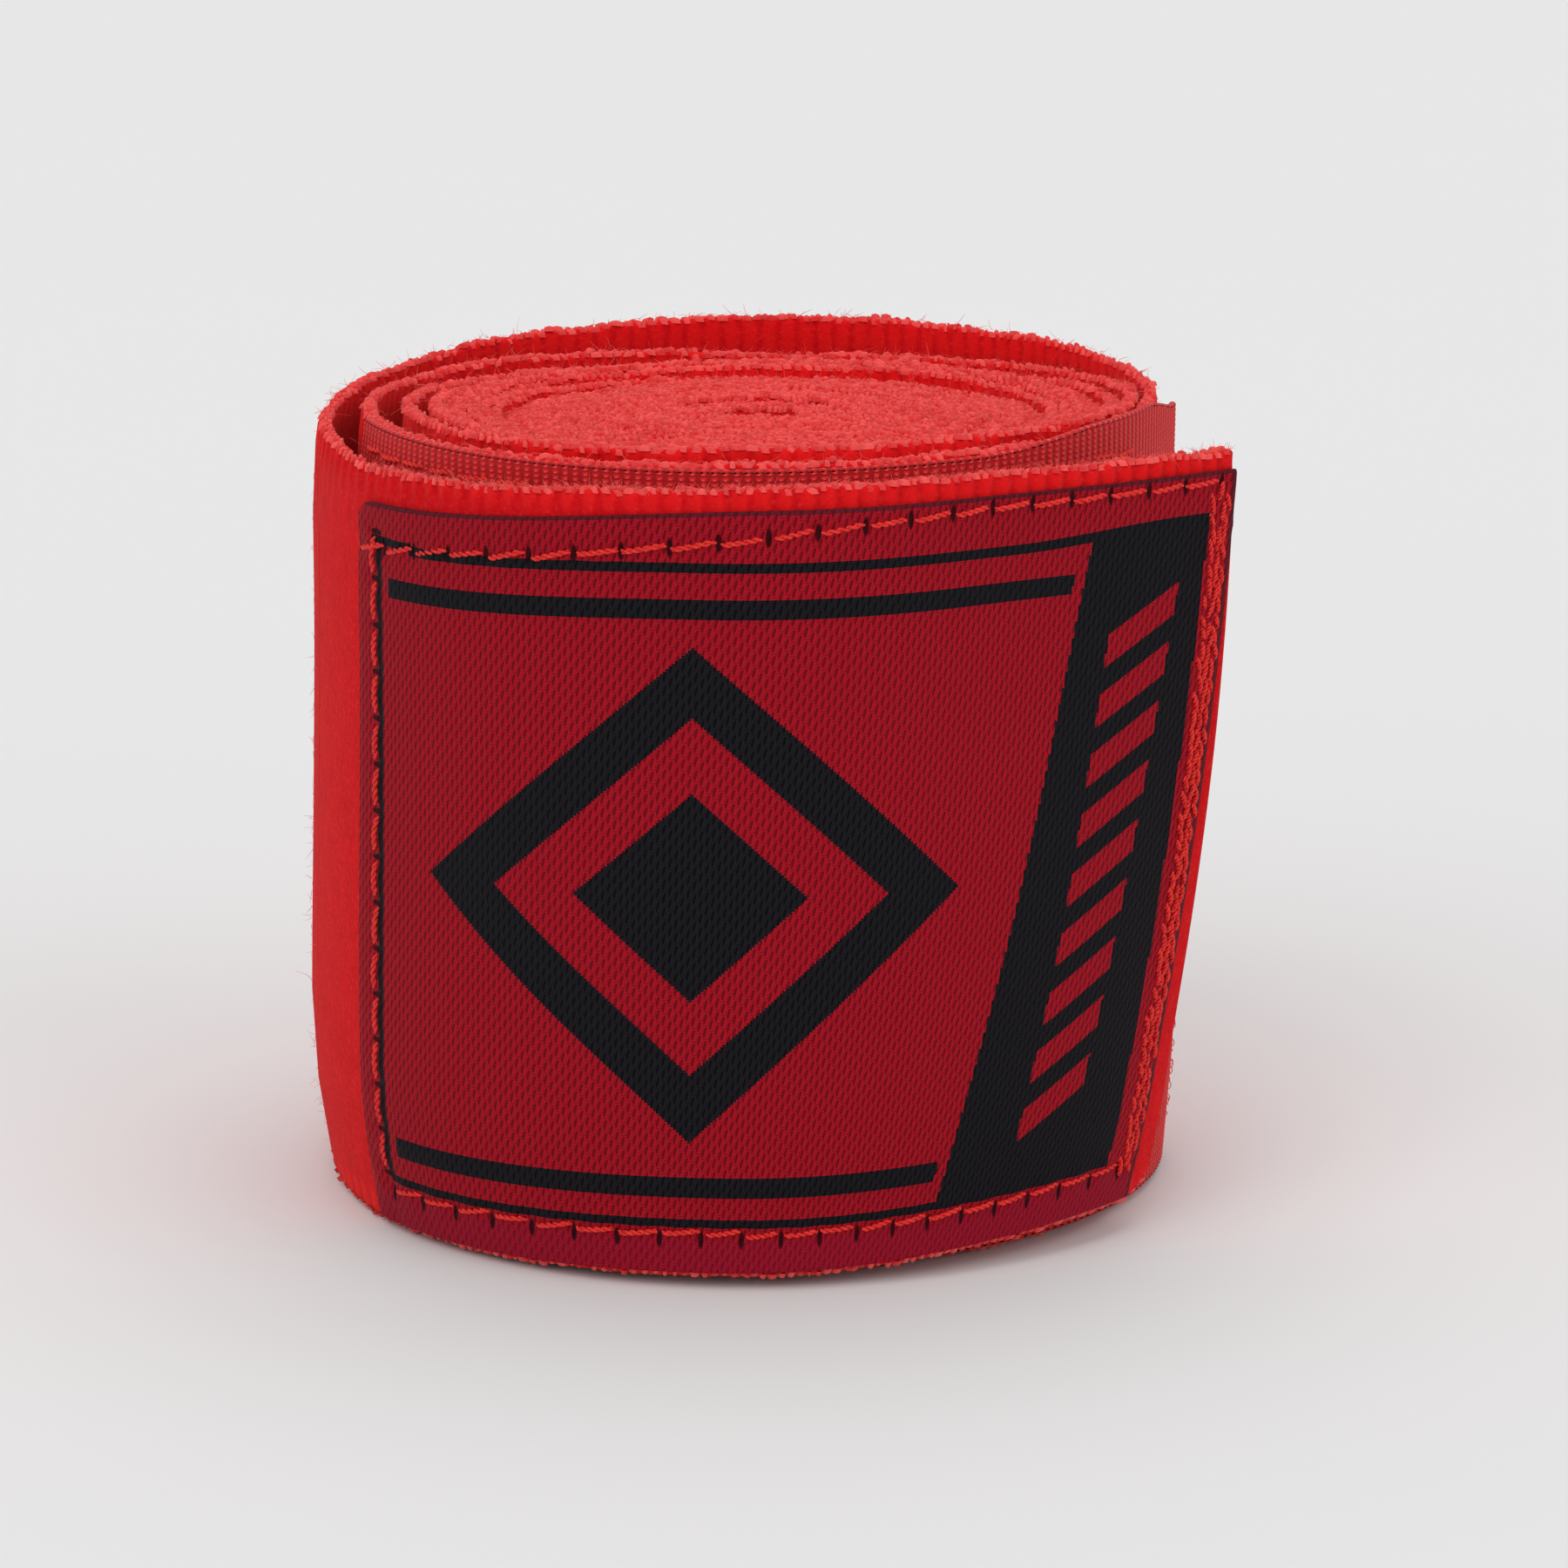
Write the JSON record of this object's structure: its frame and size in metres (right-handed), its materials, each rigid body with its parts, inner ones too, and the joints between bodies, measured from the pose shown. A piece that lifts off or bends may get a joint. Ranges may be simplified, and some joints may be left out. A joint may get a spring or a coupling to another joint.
{
  "type": "hand wrap",
  "caption": "Rolled elastic boxing hand wrap with a hook-and-loop closing tab and a woven label, standing on its end.",
  "frame": {"origin": "middle of the S-shaped core, on the roll's axis, at the lower end face that the roll stands on", "axes": "+Z along the roll's axis, up; the label on the closing tab faces -Y; the tab's free end points to +X"},
  "size_m": [0.0582, 0.0564, 0.05],
  "materials": {
    "band_knit": "matte, brushed",
    "loop_tape": "matte",
    "fastener_loop": "slight sheen",
    "fastener_hook": "satin",
    "label_twill": "satin",
    "red_thread": "satin"
  },
  "bodies": {
    "roll": {"wrap_band": "band_knit", "thumb_loop": "loop_tape", "thumb_loop_bartack": "red_thread", "loop_fastener_patch": "fastener_loop", "loop_patch_top_seam": "red_thread", "loop_patch_bottom_seam": "red_thread", "loop_patch_end_seam": "red_thread"},
    "closing_tab": {"closing_tab_band": "band_knit", "hook_fastener_patch": "fastener_hook", "woven_label": "label_twill", "label_top_seam": "red_thread", "label_bottom_seam": "red_thread", "label_side_seam": "red_thread", "tab_end_seam": "red_thread"}
  },
  "joints": [
    {"name": "tab_peel", "type": "hinge", "parent": "roll", "child": "closing_tab", "pos_m": [-0.02772, -0.0074, 0.025], "axis": [0, 0, -1], "range_deg": [0, 120]}
  ]
}
